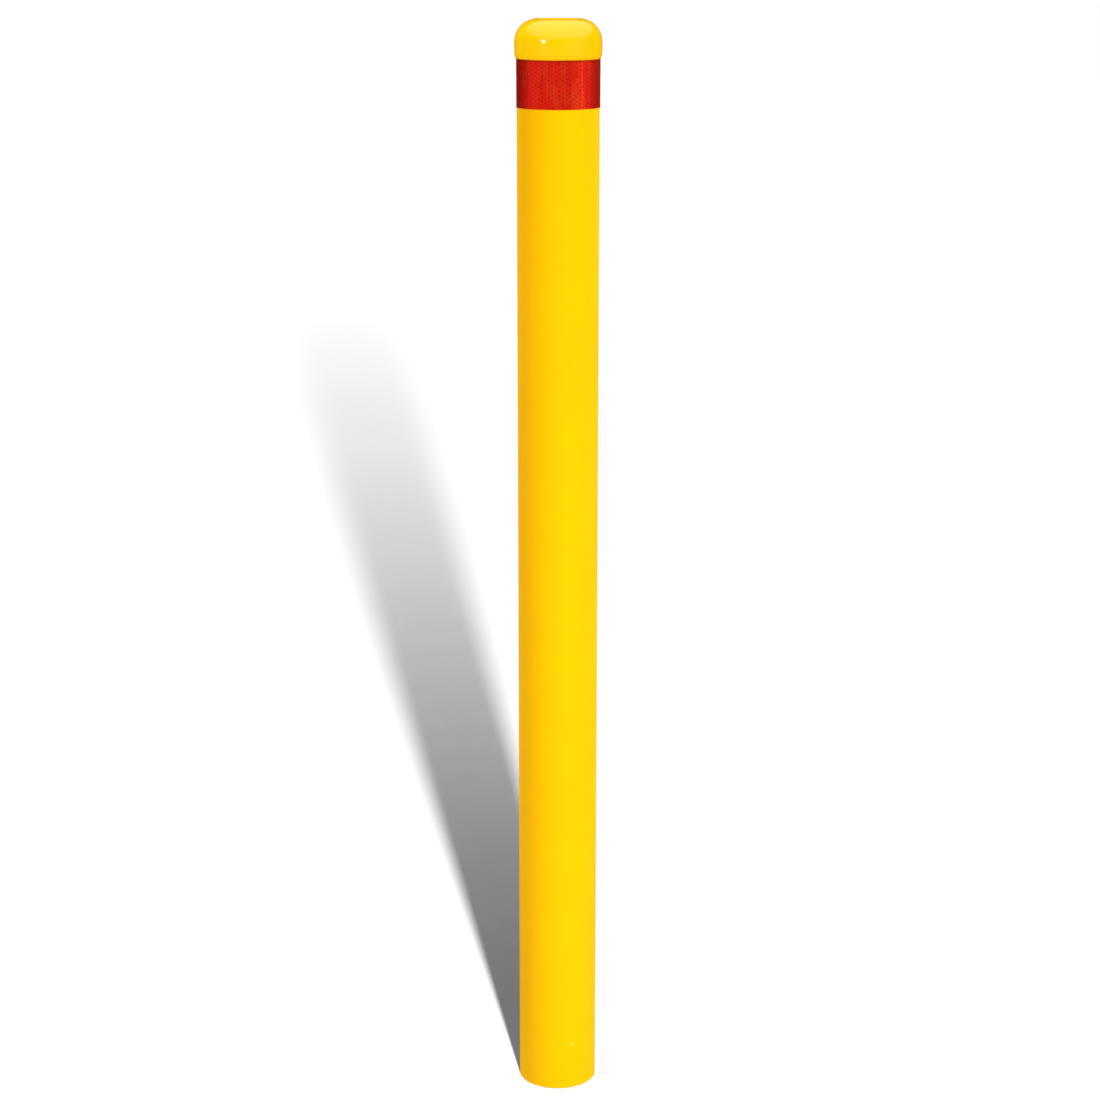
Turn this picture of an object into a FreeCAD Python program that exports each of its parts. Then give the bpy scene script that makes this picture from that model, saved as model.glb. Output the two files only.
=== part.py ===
import FreeCAD, Part
import math
import os

import Sketcher

# A yellow coated steel post with a red reflective band under a screwed-on domed cap.
# Millimetres. The origin is the centre of the foot's face, +Z is up and the front faces -Y.

doc = FreeCAD.newDocument("delineator_post")

driving_sizes = {
    # tube
    "tube_length": 1200.0,
    "tube_diameter": 88.9,
    "tube_wall": 3.2,
    "edge_break": 0.5,
    # cap
    "cap_height": 41.0,
    "cap_rise": 22.0,
    "cap_wall": 2.0,
    "cap_clearance": 0.3,
    "shoulder_radius": 24.0,
    "lip_height": 5.0,
    "lip_land": 0.3,
    "lip_radius": 10.0,
    "recess_radius": 21.5,
    "recess_draft": 3.5,
    "recess_depth": 9.0,
    "rim_radius": 1.2,
    "floor_thickness": 3.0,
    "boss_radius": 12.0,
    "cap_rib_count": 6.0,
    "cap_rib_thickness": 2.0,
    "cap_rib_clearance": 1.5,
    # plug in the tube's top
    "plug_clearance": 0.05,
    "plug_depth": 25.0,
    "plug_wall": 2.5,
    "plug_lead": 0.8,
    "flange_thickness": 3.0,
    "flange_inset": 1.45,
    "hub_radius": 10.0,
    "hub_depth": 15.0,
    "plug_rib_count": 6.0,
    "plug_rib_thickness": 2.2,
    "bush_radius": 6.5,
    "bush_length": 16.0,
    "bush_groove_depth": 0.6,
    "bush_groove_width": 3.0,
    "gasket_thickness": 1.5,
    "gasket_clearance": 0.45,
    # screw
    "screw_diameter": 8.0,
    "thread_clearance": 0.05,
    "hole_clearance": 0.1,
    "screw_length": 25.0,
    "head_radius": 7.0,
    "head_height": 4.4,
    "head_flat_radius": 3.6,
    "head_edge": 0.6,
    "head_dome_radius": 5.4,
    "socket_across_flats": 5.0,
    "socket_depth": 2.6,
    "tip_chamfer": 0.8,
    "washer_radius": 8.0,
    "washer_thickness": 1.6,
    "washer_clearance": 0.25,
    "washer_chamfer": 0.3,
    "seal_radius": 9.0,
    "seal_thickness": 1.5,
    "seal_round": 0.3,
    # reflective band
    "band_width": 50.8,
    "band_gap": 0.5,
    "film_thickness": 0.35,
    "adhesive_thickness": 0.1,
    "lap_length": 25.0,
    "lap_step_length": 0.8,
    "lap_edge_azimuth": 33.6,
}

sheet = doc.addObject("Spreadsheet::Sheet", "sizes")
for row, (alias, number) in enumerate(driving_sizes.items(), start=1):
    sheet.set(f"A{row}", alias)
    sheet.set(f"B{row}", str(number))
    sheet.setAlias(f"B{row}", alias)
doc.recompute()


def size(alias):
    """Expression that reads one driving dimension."""
    return f"sizes.{alias}"


def value(expression):
    """Present number of an expression on the sheet."""
    return float(sheet.evalExpression(str(expression)))


# Radii, outwards from the tube.
tube_outside = f"({size('tube_diameter')} / 2)"
tube_inside = f"({tube_outside} - {size('tube_wall')})"
skirt_inside = f"({tube_outside} + {size('cap_clearance')})"
cap_outside = f"({skirt_inside} + {size('cap_wall')})"
shoulder_centre = f"({cap_outside} - {size('shoulder_radius')})"
recess_floor_radius = f"({size('recess_radius')} - {size('recess_draft')})"
plug_outside = f"({tube_inside} - {size('plug_clearance')})"
flange_radius = f"({tube_outside} - {size('flange_inset')})"
thread_radius = f"({size('screw_diameter')} / 2)"
shank_radius = f"({thread_radius} - {size('thread_clearance')})"
screw_hole_radius = f"({shank_radius} + {size('hole_clearance')})"

# Heights, upwards from the foot.
tube_top = size("tube_length")
crown = f"({tube_top} + {size('cap_rise')})"
lip_bottom = f"({crown} - {size('cap_height')})"
shoulder_start = f"({crown} - {size('shoulder_radius')})"
recess_floor = f"({crown} - {size('recess_depth')})"
floor_underside = f"({recess_floor} - {size('floor_thickness')})"
flange_top = f"({tube_top} + {size('flange_thickness')})"
gasket_top = f"({flange_top} + {size('gasket_thickness')})"
rib_bottom = f"({gasket_top} + {size('cap_rib_clearance')})"
seal_top = f"({recess_floor} + {size('seal_thickness')})"
head_seat = f"({seal_top} + {size('washer_thickness')})"
head_top = f"({head_seat} + {size('head_height')})"
screw_tip = f"({head_seat} - {size('screw_length')})"
band_top = f"({lip_bottom} - {size('band_gap')})"
band_bottom = f"({band_top} - {size('band_width')})"


def new_body(node):
    """Empty body whose label names the node."""
    body = doc.addObject("PartDesign::Body", node)
    body.Label = node
    return body


def origin_feature(body, role):
    """One of the body's own origin planes or axes."""
    return next(feature for feature in body.Origin.OriginFeatures if feature.Role == role)


def new_sketch(body, name, role):
    """Sketch attached to one of the body's origin planes."""
    sketch = body.newObject("Sketcher::SketchObject", name)
    sketch.AttachmentSupport = [(origin_feature(body, role), "")]
    sketch.MapMode = "FlatFace"
    return sketch


def bent_edge(start, end, radius):
    """Arc from start to end: a positive radius bulges to the right of the way, a negative one to the left."""
    chord = end - start
    middle = (start + end) * 0.5
    right = FreeCAD.Vector(chord.y, -chord.x, 0).normalize()
    depth = abs(radius) - math.sqrt(radius**2 - (chord.Length / 2) ** 2)
    return Part.Arc(start, middle + right * math.copysign(depth, radius), end)


def bind_newest(sketch, name, expression):
    """Name the newest constraint and bind it to an expression."""
    sketch.renameConstraint(sketch.ConstraintCount - 1, name)
    sketch.setExpression(f"Constraints.{name}", str(expression))


def place_corner(sketch, edge, end, corner):
    """Tie one corner's place to the sheet, and the bend of the edge that leaves it."""
    for axis, on_axis, expression in (("X", -2, corner[0]), ("Y", -1, corner[1])):
        number = value(expression)
        if number == 0:
            sketch.addConstraint(Sketcher.Constraint("PointOnObject", edge, end, on_axis))
        else:
            sketch.addConstraint(Sketcher.Constraint(f"Distance{axis}", edge, end, number))
            bind_newest(sketch, f"corner{edge}{axis}", expression)
    if len(corner) == 3:
        sketch.addConstraint(Sketcher.Constraint("Radius", edge, abs(value(corner[2]))))
        bind_newest(sketch, f"bend{edge}", f"abs({corner[2]})")


def draw_outline(sketch, corners):
    """Closed outline of corners (x, y) or (x, y, radius), where the radius bends the edge that leaves it."""
    points = [FreeCAD.Vector(value(corner[0]), value(corner[1]), 0) for corner in corners]
    ends = []
    for edge, corner in enumerate(corners):
        start = points[edge]
        end = points[(edge + 1) % len(points)]
        if len(corner) == 3:
            sketch.addGeometry(bent_edge(start, end, value(corner[2])))
        else:
            sketch.addGeometry(Part.LineSegment(start, end))
        # The sketcher stores arcs anticlockwise, so a clockwise one begins at its second end.
        forwards = (sketch.getPoint(edge, 1) - start).Length < (sketch.getPoint(edge, 2) - start).Length
        ends.append((1, 2) if forwards else (2, 1))
    for edge in range(len(corners)):
        following = (edge + 1) % len(corners)
        joint = Sketcher.Constraint("Coincident", edge, ends[edge][1], following, ends[following][0])
        sketch.addConstraint(joint)
    for edge, corner in enumerate(corners):
        place_corner(sketch, edge, ends[edge][0], corner)


def turned_body(node, corners):
    """Body turned about Z from an outline of (radius, height) corners."""
    body = new_body(node)
    sketch = new_sketch(body, f"{node}_outline", "XZ_Plane")
    draw_outline(sketch, corners)
    turning = body.newObject("PartDesign::Revolution", f"{node}_turning")
    turning.Profile = sketch
    turning.ReferenceAxis = (sketch, ["V_Axis"])
    turning.Angle = 360
    doc.recompute()
    return body


def ribs_round(body, corners, thickness, count):
    """Rib of an outline of (radius, height) corners, repeated round Z."""
    sketch = new_sketch(body, f"{body.Name}_rib_outline", "XZ_Plane")
    draw_outline(sketch, corners)
    rib = body.newObject("PartDesign::Pad", f"{body.Name}_rib")
    rib.Profile = sketch
    rib.SideType = "Symmetric"
    rib.setExpression("Length", thickness)
    doc.recompute()
    ribs = body.newObject("PartDesign::PolarPattern", f"{body.Name}_ribs")
    ribs.Originals = [rib]
    ribs.Axis = (origin_feature(body, "Z_Axis"), [""])
    ribs.Angle = 360
    ribs.setExpression("Occurrences", count)
    body.Tip = ribs
    doc.recompute()


def cylinder(name, radius, bottom, height, angle="360", turned_to="0"):
    """Cylinder or sector of one about Z."""
    solid = doc.addObject("Part::Cylinder", name)
    solid.setExpression("Radius", radius)
    solid.setExpression("Height", height)
    solid.setExpression("Angle", angle)
    solid.Placement.Rotation.Axis = FreeCAD.Vector(0, 0, 1)
    solid.setExpression("Placement.Base.z", bottom)
    solid.setExpression("Placement.Rotation.Angle", turned_to)
    return solid


def ring(name, inner, outer, bottom, height, angle="360", turned_to="0"):
    """Ring or sector of one about Z."""
    tube = doc.addObject("Part::Cut", name)
    tube.Base = cylinder(f"{name}_outside", outer, bottom, height, angle, turned_to)
    tube.Tool = cylinder(f"{name}_inside", inner, bottom, height)
    return tube


def fused(node, pieces):
    """Pieces joined into one solid whose label names the node."""
    whole = doc.addObject("Part::MultiFuse", node)
    whole.Shapes = pieces
    whole.Refine = True
    whole.Label = node
    return whole


def make_post_tube():
    """Steel tube with square-cut, lightly broken ends."""
    body = new_body("post_tube")
    sketch = new_sketch(body, "tube_section", "XY_Plane")
    for circle, radius in enumerate((tube_outside, tube_inside)):
        sketch.addGeometry(Part.Circle(FreeCAD.Vector(0, 0, 0), FreeCAD.Vector(0, 0, 1), value(radius)))
        sketch.addConstraint(Sketcher.Constraint("Coincident", circle, 3, -1, 1))
        sketch.addConstraint(Sketcher.Constraint("Radius", circle, value(radius)))
        bind_newest(sketch, f"radius{circle}", radius)
    pad = body.newObject("PartDesign::Pad", "tube_pad")
    pad.Profile = sketch
    pad.setExpression("Length", tube_top)
    doc.recompute()
    rims = [
        f"Edge{index}"
        for index, edge in enumerate(pad.Shape.Edges, start=1)
        if isinstance(edge.Curve, Part.Circle)
    ]
    chamfer = body.newObject("PartDesign::Chamfer", "tube_ends")
    chamfer.Base = (pad, rims)
    chamfer.setExpression("Size", size("edge_break"))
    doc.recompute()
    return body


def make_top_cap():
    """Moulded cap: skirt with a rolled lip, round shoulder, recess, centre boss and inner ribs."""
    wall = size("cap_wall")
    recess = size("recess_radius")
    rim = size("rim_radius")
    shoulder = size("shoulder_radius")
    # Where the recess wall's hidden face runs into the shoulder's inner arc.
    neck_radius = f"({recess} + {wall})"
    inner_arc = f"({shoulder} - {wall})"
    neck_height = f"({shoulder_start} + sqrt({inner_arc}^2 - ({neck_radius} - {shoulder_centre})^2))"
    body = turned_body(
        "top_cap",
        [
            (skirt_inside, lip_bottom),
            (f"{skirt_inside} + {size('lip_land')}", lip_bottom, size("lip_radius")),
            (cap_outside, f"{lip_bottom} + {size('lip_height')}"),
            (cap_outside, shoulder_start, shoulder),
            (f"{recess} + {rim}", crown, rim),
            (recess, f"{crown} - {rim}"),
            (recess_floor_radius, recess_floor),
            (screw_hole_radius, recess_floor),
            (screw_hole_radius, gasket_top),
            (size("boss_radius"), gasket_top),
            (size("boss_radius"), floor_underside),
            (f"{recess_floor_radius} + {wall}", floor_underside),
            (neck_radius, neck_height, f"-{inner_arc}"),
            (skirt_inside, shoulder_start),
        ],
    )
    # The ribs end half-way into the walls that they join.
    half_wall = f"{wall} / 2"
    middle_arc = f"({shoulder} - {half_wall})"
    rib_reach = f"({shoulder_centre} + sqrt({middle_arc}^2 - ({rib_bottom} - {shoulder_start})^2))"
    boss_middle = f"({size('boss_radius')} + {screw_hole_radius}) / 2"
    floor_middle = f"{floor_underside} + {size('floor_thickness')} / 2"
    ribs_round(
        body,
        [
            (boss_middle, rib_bottom),
            (rib_reach, rib_bottom, middle_arc),
            (f"{recess} + {half_wall}", f"{crown} - {half_wall}"),
            (f"{recess_floor_radius} + {half_wall}", floor_middle),
            (boss_middle, floor_middle),
        ],
        size("cap_rib_thickness"),
        size("cap_rib_count"),
    )
    return body


def make_tube_insert():
    """Ribbed plastic plug: a cup in the bore, a flange on the tube's end and a hub for the bush."""
    lead = size("plug_lead")
    cup_bottom = f"({tube_top} - {size('plug_depth')})"
    cup_inside = f"({plug_outside} - {size('plug_wall')})"
    hub_bottom = f"({tube_top} - {size('hub_depth')})"
    body = turned_body(
        "tube_insert",
        [
            (size("bush_radius"), flange_top),
            (f"{flange_radius} - {lead}", flange_top),
            (flange_radius, f"{flange_top} - {lead}"),
            (flange_radius, tube_top),
            (plug_outside, tube_top),
            (plug_outside, f"{cup_bottom} + {lead}"),
            (f"{plug_outside} - {lead}", cup_bottom),
            (cup_inside, cup_bottom),
            (cup_inside, tube_top),
            (size("hub_radius"), tube_top),
            (size("hub_radius"), hub_bottom),
            (size("bush_radius"), hub_bottom),
        ],
    )
    hub_middle = f"({size('hub_radius')} + {size('bush_radius')}) / 2"
    cup_middle = f"({plug_outside} - {size('plug_wall')} / 2)"
    flange_middle = f"{tube_top} + {size('flange_thickness')} / 2"
    ribs_round(
        body,
        [
            (hub_middle, hub_bottom),
            (cup_middle, hub_bottom),
            (cup_middle, flange_middle),
            (hub_middle, flange_middle),
        ],
        size("plug_rib_thickness"),
        size("plug_rib_count"),
    )
    return body


def make_insert_bush():
    """Threaded bush, level with the plug's flange, with a groove round its middle."""
    bottom = f"({flange_top} - {size('bush_length')})"
    groove_bottom = f"({bottom} + ({size('bush_length')} - {size('bush_groove_width')}) / 2)"
    groove_radius = f"{size('bush_radius')} - {size('bush_groove_depth')}"
    return turned_body(
        "insert_bush",
        [
            (thread_radius, bottom),
            (size("bush_radius"), bottom),
            (size("bush_radius"), groove_bottom),
            (groove_radius, groove_bottom),
            (groove_radius, f"{groove_bottom} + {size('bush_groove_width')}"),
            (size("bush_radius"), f"{groove_bottom} + {size('bush_groove_width')}"),
            (size("bush_radius"), flange_top),
            (thread_radius, flange_top),
        ],
    )


def make_cap_gasket():
    """Rubber ring between the plug's flange and the cap's boss."""
    gasket = ring(
        "cap_gasket",
        f"{shank_radius} + {size('gasket_clearance')}",
        size("boss_radius"),
        flange_top,
        size("gasket_thickness"),
    )
    gasket.Label = "cap_gasket"
    return gasket


def make_cap_screw():
    """Button-head screw with a hexagon socket; its thread is a plain shank."""
    tip = size("tip_chamfer")
    body = turned_body(
        "cap_screw",
        [
            ("0", screw_tip),
            (f"{shank_radius} - {tip}", screw_tip),
            (shank_radius, f"{screw_tip} + {tip}"),
            (shank_radius, head_seat),
            (size("head_radius"), head_seat),
            (size("head_radius"), f"{head_seat} + {size('head_edge')}", size("head_dome_radius")),
            (size("head_flat_radius"), head_top),
            ("0", head_top),
        ],
    )
    socket = new_sketch(body, "socket_outline", "XY_Plane")
    socket.setExpression("AttachmentOffset.Base.z", head_top)
    across_corners = f"{size('socket_across_flats')} / sqrt(3)"
    draw_outline(
        socket,
        [
            (f"{across_corners} * cos({60 * corner + 30} deg)", f"{across_corners} * sin({60 * corner + 30} deg)")
            for corner in range(6)
        ],
    )
    pocket = body.newObject("PartDesign::Pocket", "socket")
    pocket.Profile = socket
    pocket.setExpression("Length", size("socket_depth"))
    doc.recompute()
    return body


def make_screw_washer():
    """Flat steel washer with broken outer edges."""
    chamfer = size("washer_chamfer")
    inside = f"{shank_radius} + {size('washer_clearance')}"
    return turned_body(
        "screw_washer",
        [
            (inside, seal_top),
            (f"{size('washer_radius')} - {chamfer}", seal_top),
            (size("washer_radius"), f"{seal_top} + {chamfer}"),
            (size("washer_radius"), f"{head_seat} - {chamfer}"),
            (f"{size('washer_radius')} - {chamfer}", head_seat),
            (inside, head_seat),
        ],
    )


def make_screw_seal():
    """Rubber sealing ring under the washer, rounded round its upper edge."""
    round_edge = size("seal_round")
    inside = f"{shank_radius} + {size('washer_clearance')}"
    return turned_body(
        "screw_seal",
        [
            (inside, recess_floor),
            (size("seal_radius"), recess_floor),
            (size("seal_radius"), f"{seal_top} - {round_edge}", round_edge),
            (f"{size('seal_radius')} - {round_edge}", seal_top),
            (inside, seal_top),
        ],
    )


# The band is one strip, wound anticlockwise seen from above. It starts under the lap, goes once
# round the tube, steps up over its own start and ends at the lap's free edge.
film_inside = f"({tube_outside} + {size('adhesive_thickness')})"
film_outside = f"({film_inside} + {size('film_thickness')})"
lap_inside = f"({film_outside} + {size('adhesive_thickness')})"
lap_outside = f"({lap_inside} + {size('film_thickness')})"
degrees_per_length = f"180 / pi / {tube_outside}"
lap_angle = f"({size('lap_length')} * {degrees_per_length})"
step_angle = f"({size('lap_step_length')} * {degrees_per_length})"
# The front faces -Y, so an azimuth to the right of it is an angle from -Y towards +X.
lap_edge_angle = f"({size('lap_edge_azimuth')} - 90)"
strip_start = f"({lap_edge_angle} - {lap_angle})"
film_step_start = f"({strip_start} - 2 * {step_angle})"
adhesive_step_start = f"({strip_start} - {step_angle})"


def make_reflective_film():
    """Prismatic film: one turn, the step at its end and the lap over its start."""
    width = size("band_width")
    turn = ring(
        "film_turn",
        film_inside,
        film_outside,
        band_bottom,
        width,
        f"360 - {step_angle}",
        strip_start,
    )
    step = ring("film_step", film_inside, lap_outside, band_bottom, width, step_angle, film_step_start)
    lap = ring(
        "film_lap",
        lap_inside,
        lap_outside,
        band_bottom,
        width,
        f"{step_angle} + {lap_angle}",
        adhesive_step_start,
    )
    return fused("reflective_film", [turn, step, lap])


def make_band_adhesive():
    """Adhesive on the strip's back: under the turn, up the step and inside the lap."""
    width = size("band_width")
    turn = ring("adhesive_turn", tube_outside, film_inside, band_bottom, width)
    step = ring(
        "adhesive_step",
        tube_outside,
        lap_inside,
        band_bottom,
        width,
        step_angle,
        adhesive_step_start,
    )
    lap = ring("adhesive_lap", film_outside, lap_inside, band_bottom, width, lap_angle, strip_start)
    return fused("band_adhesive", [turn, step, lap])


sub_parts = [
    make_post_tube(),
    make_tube_insert(),
    make_insert_bush(),
    make_cap_gasket(),
    make_band_adhesive(),
    make_reflective_film(),
    make_top_cap(),
    make_screw_seal(),
    make_screw_washer(),
    make_cap_screw(),
]
doc.recompute()

for built in doc.Objects:
    if "Invalid" in built.State or "Error" in built.State:
        raise RuntimeError(f"{built.Name} failed: {built.State}")
for sub_part in sub_parts:
    if sub_part.Shape.isNull() or not sub_part.Shape.isValid():
        raise RuntimeError(f"{sub_part.Label} has no valid shape")

os.makedirs("parts", exist_ok=True)
for sub_part in sub_parts:
    sub_part.Shape.exportStep(f"parts/{sub_part.Label}.step")
    print(f"{sub_part.Label}: {len(sub_part.Shape.Solids)} solid, {sub_part.Shape.Volume:.1f} mm3")
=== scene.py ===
import math

import bpy
import numpy as np
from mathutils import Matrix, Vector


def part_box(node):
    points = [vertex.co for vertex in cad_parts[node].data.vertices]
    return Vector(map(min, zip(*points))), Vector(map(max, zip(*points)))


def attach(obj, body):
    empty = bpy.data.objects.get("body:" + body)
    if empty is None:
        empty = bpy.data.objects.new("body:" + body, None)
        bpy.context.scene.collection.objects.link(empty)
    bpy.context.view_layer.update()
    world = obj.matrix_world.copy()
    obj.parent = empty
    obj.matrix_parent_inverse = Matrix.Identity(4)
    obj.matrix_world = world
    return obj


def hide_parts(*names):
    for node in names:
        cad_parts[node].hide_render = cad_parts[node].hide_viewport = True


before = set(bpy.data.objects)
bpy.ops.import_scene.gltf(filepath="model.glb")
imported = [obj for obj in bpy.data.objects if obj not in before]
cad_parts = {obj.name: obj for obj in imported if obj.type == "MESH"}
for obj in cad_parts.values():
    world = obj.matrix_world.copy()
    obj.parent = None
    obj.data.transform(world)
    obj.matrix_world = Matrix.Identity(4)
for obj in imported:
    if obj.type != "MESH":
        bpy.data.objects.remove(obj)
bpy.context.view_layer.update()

mm = 0.001


def span(node):
    # outer radius, bottom and top of a CAD node, in millimetres
    low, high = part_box(node)
    return high[0] / mm, low[2] / mm, high[2] / mm


# Each shape is a grid of two parameters, worked out as whole arrays in millimetres.


def filletedLine(corners, steps=6, closed=True):
    # Straight runs between corners (across, up, radius), each corner rounded by its own arc. An arc is
    # the rational quadratic curve of its tangent points and corner, weighted by the cosine of half its turn.
    table = np.array(corners, dtype=float)
    points = table[:, :2]
    back = np.roll(points, 1, axis=0) - points
    ahead = np.roll(points, -1, axis=0) - points
    back = back / np.linalg.norm(back, axis=1, keepdims=True)
    ahead = ahead / np.linalg.norm(ahead, axis=1, keepdims=True)
    halfInside = np.arccos(np.clip((back * ahead).sum(axis=1), -1, 1)) / 2
    reach = (table[:, 2] / np.tan(halfInside))[:, None]
    weight = np.sin(halfInside)[:, None, None]
    t = np.linspace(0, 1, steps + 1)[None, :, None]
    first, middle, last = (1 - t) ** 2, 2 * weight * t * (1 - t), t**2
    start = (points + back * reach)[:, None, :]
    end = (points + ahead * reach)[:, None, :]
    arcs = (start * first + points[:, None, :] * middle + end * last) / (first + middle + last)
    if closed:
        return arcs.reshape(-1, 2)
    return np.concatenate([points[:1], arcs[1:-1].reshape(-1, 2), points[-1:]])


def divided(line, longest, closed=True):
    # the same line with points added along its long runs, evenly by length
    path = np.concatenate([line, line[:1]]) if closed else line
    length = np.concatenate([[0], np.cumsum(np.linalg.norm(np.diff(path, axis=0), axis=1))])
    places = np.unique(np.concatenate([length, np.arange(0, length[-1], longest)]).round(6))
    places = places[np.concatenate([[True], np.diff(places) > 1e-4])]
    result = np.stack([np.interp(places, length, path[:, 0]), np.interp(places, length, path[:, 1])], axis=1)
    return result[:-1] if closed else result


def gridQuads(rows, columns, closeRows, closeColumns):
    # four corners of each cell of a grid; closing joins the last row or column to the first
    index = np.arange(rows * columns).reshape(rows, columns)
    if closeRows:
        index = np.concatenate([index, index[:1]])
    if closeColumns:
        index = np.concatenate([index, index[:, :1]], axis=1)
    corners = [index[:-1, :-1], index[:-1, 1:], index[1:, 1:], index[1:, :-1]]
    return np.stack(corners, axis=-1).reshape(-1, 4)


def turnedRing(line, segments, radiusAt=None):
    # A closed outline (radius, height) turned about Z: x, y = radius * (cos, sin) of the angle.
    # radiusAt(radius, height, angle) may bend the radius, as for a thread or a bead.
    area = np.sum(line[:, 0] * np.roll(line[:, 1], -1) - np.roll(line[:, 0], -1) * line[:, 1])
    line = line if area > 0 else line[::-1]
    angle = np.linspace(0, 2 * np.pi, segments, endpoint=False)[None, :]
    height = np.repeat(line[:, 1:2], segments, axis=1)
    radius = np.repeat(line[:, 0:1], segments, axis=1)
    if radiusAt:
        radius = radiusAt(radius, height, angle)
    place = np.stack([radius * np.cos(angle), radius * np.sin(angle), height], axis=-1)
    return place.reshape(-1, 3), gridQuads(len(line), segments, True, True), np.zeros((0, 3), int)


def turnedSolid(line, segments, radiusAt=None):
    # The same for an outline that runs from the axis up and round to the axis again: both ends are
    # single points, closed by a fan of triangles.
    angle = np.linspace(0, 2 * np.pi, segments, endpoint=False)[None, :]
    inner = line[1:-1]
    height = np.repeat(inner[:, 1:2], segments, axis=1)
    radius = np.repeat(inner[:, 0:1], segments, axis=1)
    if radiusAt:
        radius = radiusAt(radius, height, angle)
    place = np.stack([radius * np.cos(angle), radius * np.sin(angle), height], axis=-1).reshape(-1, 3)
    poles = np.array([[0, 0, line[0, 1]], [0, 0, line[-1, 1]]])
    count = len(place)
    near = np.arange(segments)
    far = np.roll(near, -1)
    lowFan = np.stack([np.full(segments, count), far, near], axis=1)
    topRow = count - segments
    highFan = np.stack([np.full(segments, count + 1), topRow + near, topRow + far], axis=1)
    quads = gridQuads(len(inner), segments, False, True)
    return np.concatenate([place, poles]), quads, np.concatenate([lowFan, highFan])


def sweptBar(sections):
    # A closed section (stations, points round, 3) carried along its stations, with both ends closed
    # by a fan to the middle of the end section.
    stations, around, _ = sections.shape
    place = np.concatenate([sections.reshape(-1, 3), sections[:1].mean(axis=1), sections[-1:].mean(axis=1)])
    near = np.arange(around)
    far = np.roll(near, -1)
    count = stations * around
    startFan = np.stack([np.full(around, count), far, near], axis=1)
    endFan = np.stack([np.full(around, count + 1), count - around + near, count - around + far], axis=1)
    return place, gridQuads(stations, around, False, True), np.concatenate([startFan, endFan])


def turnedAbout(shell, angles):
    # copies of one shell turned about Z by each angle
    place, quads, triangles = shell
    cos, sin = np.cos(angles)[:, None], np.sin(angles)[:, None]
    x = place[None, :, 0] * cos - place[None, :, 1] * sin
    y = place[None, :, 0] * sin + place[None, :, 1] * cos
    z = np.repeat(place[None, :, 2], len(angles), axis=0)
    shift = (np.arange(len(angles)) * len(place))[:, None, None]
    copies = np.stack([x, y, z], axis=-1).reshape(-1, 3)
    return copies, (quads[None] + shift).reshape(-1, 4), (triangles[None] + shift).reshape(-1, 3)


def outward(shell):
    # turns a closed shell's faces over if the volume that they enclose comes out negative
    place, quads, triangles = shell
    fans = np.concatenate([quads[:, [0, 1, 2]], quads[:, [0, 2, 3]], triangles])
    corners = place[fans]
    volume = np.einsum("ij,ij->i", corners[:, 0], np.cross(corners[:, 1], corners[:, 2])).sum()
    return shell if volume > 0 else (place, quads[:, ::-1], triangles[:, ::-1])


madePieces = {}


def makePiece(name, shells, material, body, node, sharp=35, strip=None):
    # puts the shells of one piece into a mesh, and ties it to its body, CAD node and material slot
    places, faces, count = [], [], 0
    for place, quads, triangles in map(outward, shells):
        places.append(place)
        faces += (quads + count).tolist() + (triangles + count).tolist()
        count += len(place)
    mesh = bpy.data.meshes.new(name)
    mesh.from_pydata(np.concatenate(places) * mm, [], faces)
    mesh.polygons.foreach_set("use_smooth", np.ones(len(faces), bool))
    mesh.set_sharp_from_angle(angle=math.radians(sharp))
    mesh.materials.append(material)
    if strip is not None:
        corner = np.zeros(len(mesh.loops), int)
        mesh.loops.foreach_get("vertex_index", corner)
        mesh.uv_layers.new(name="strip").data.foreach_set("uv", (strip[corner] * mm).ravel())
    mesh.update()
    piece = bpy.data.objects.new(name, mesh)
    bpy.context.scene.collection.objects.link(piece)
    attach(piece, body)
    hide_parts(node)
    madePieces[name] = piece


# Materials are node patterns on object coordinates, in metres, or on the film's own strip map.


def wire(tree, kind, inputs=None, **settings):
    # adds a node; each input is a value or another node's output
    node = tree.nodes.new(kind)
    for name, value in settings.items():
        setattr(node, name, value)
    for name, value in (inputs or {}).items():
        if isinstance(value, bpy.types.NodeSocket):
            tree.links.new(value, node.inputs[name])
        else:
            node.inputs[name].default_value = value
    return node


def calc(tree, operation, first, second=0.0, third=0.0):
    inputs = {0: first, 1: second, 2: third}
    return wire(tree, "ShaderNodeMath", inputs, operation=operation).outputs[0]


def stepBetween(tree, value, low, high, toLow=0.0, toHigh=1.0):
    # smooth step from toLow below low to toHigh above high
    inputs = {0: value, 1: low, 2: high, 3: toLow, 4: toHigh}
    return wire(tree, "ShaderNodeMapRange", inputs, interpolation_type="SMOOTHSTEP").outputs[0]


def noise(tree, place, featureMm, detail=2.0, rough=0.5):
    # noise whose blobs are about featureMm across
    inputs = {"Vector": place, "Scale": 1 / (featureMm * mm), "Detail": detail, "Roughness": rough}
    return wire(tree, "ShaderNodeTexNoise", inputs).outputs[0]


def cells(tree, place, spacingMm, result):
    # random cells about spacingMm apart: the distance to the nearest centre, or a colour for each cell
    inputs = {"Vector": place, "Scale": 1 / (spacingMm * mm)}
    return wire(tree, "ShaderNodeTexVoronoi", inputs).outputs[result]


def stretched(tree, place, scale):
    return wire(tree, "ShaderNodeMapping", {"Vector": place, "Scale": scale}).outputs[0]


def blend(tree, share, first, second):
    # colour from first to second
    inputs = {0: share, 6: first, 7: second}
    return wire(tree, "ShaderNodeMix", inputs, data_type="RGBA").outputs[2]


def bump(tree, height, depthMm, under=None, strength=1.0):
    inputs = {"Height": height, "Distance": depthMm * mm, "Strength": strength}
    if under:
        inputs["Normal"] = under
    return wire(tree, "ShaderNodeBump", inputs).outputs[0]


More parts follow.
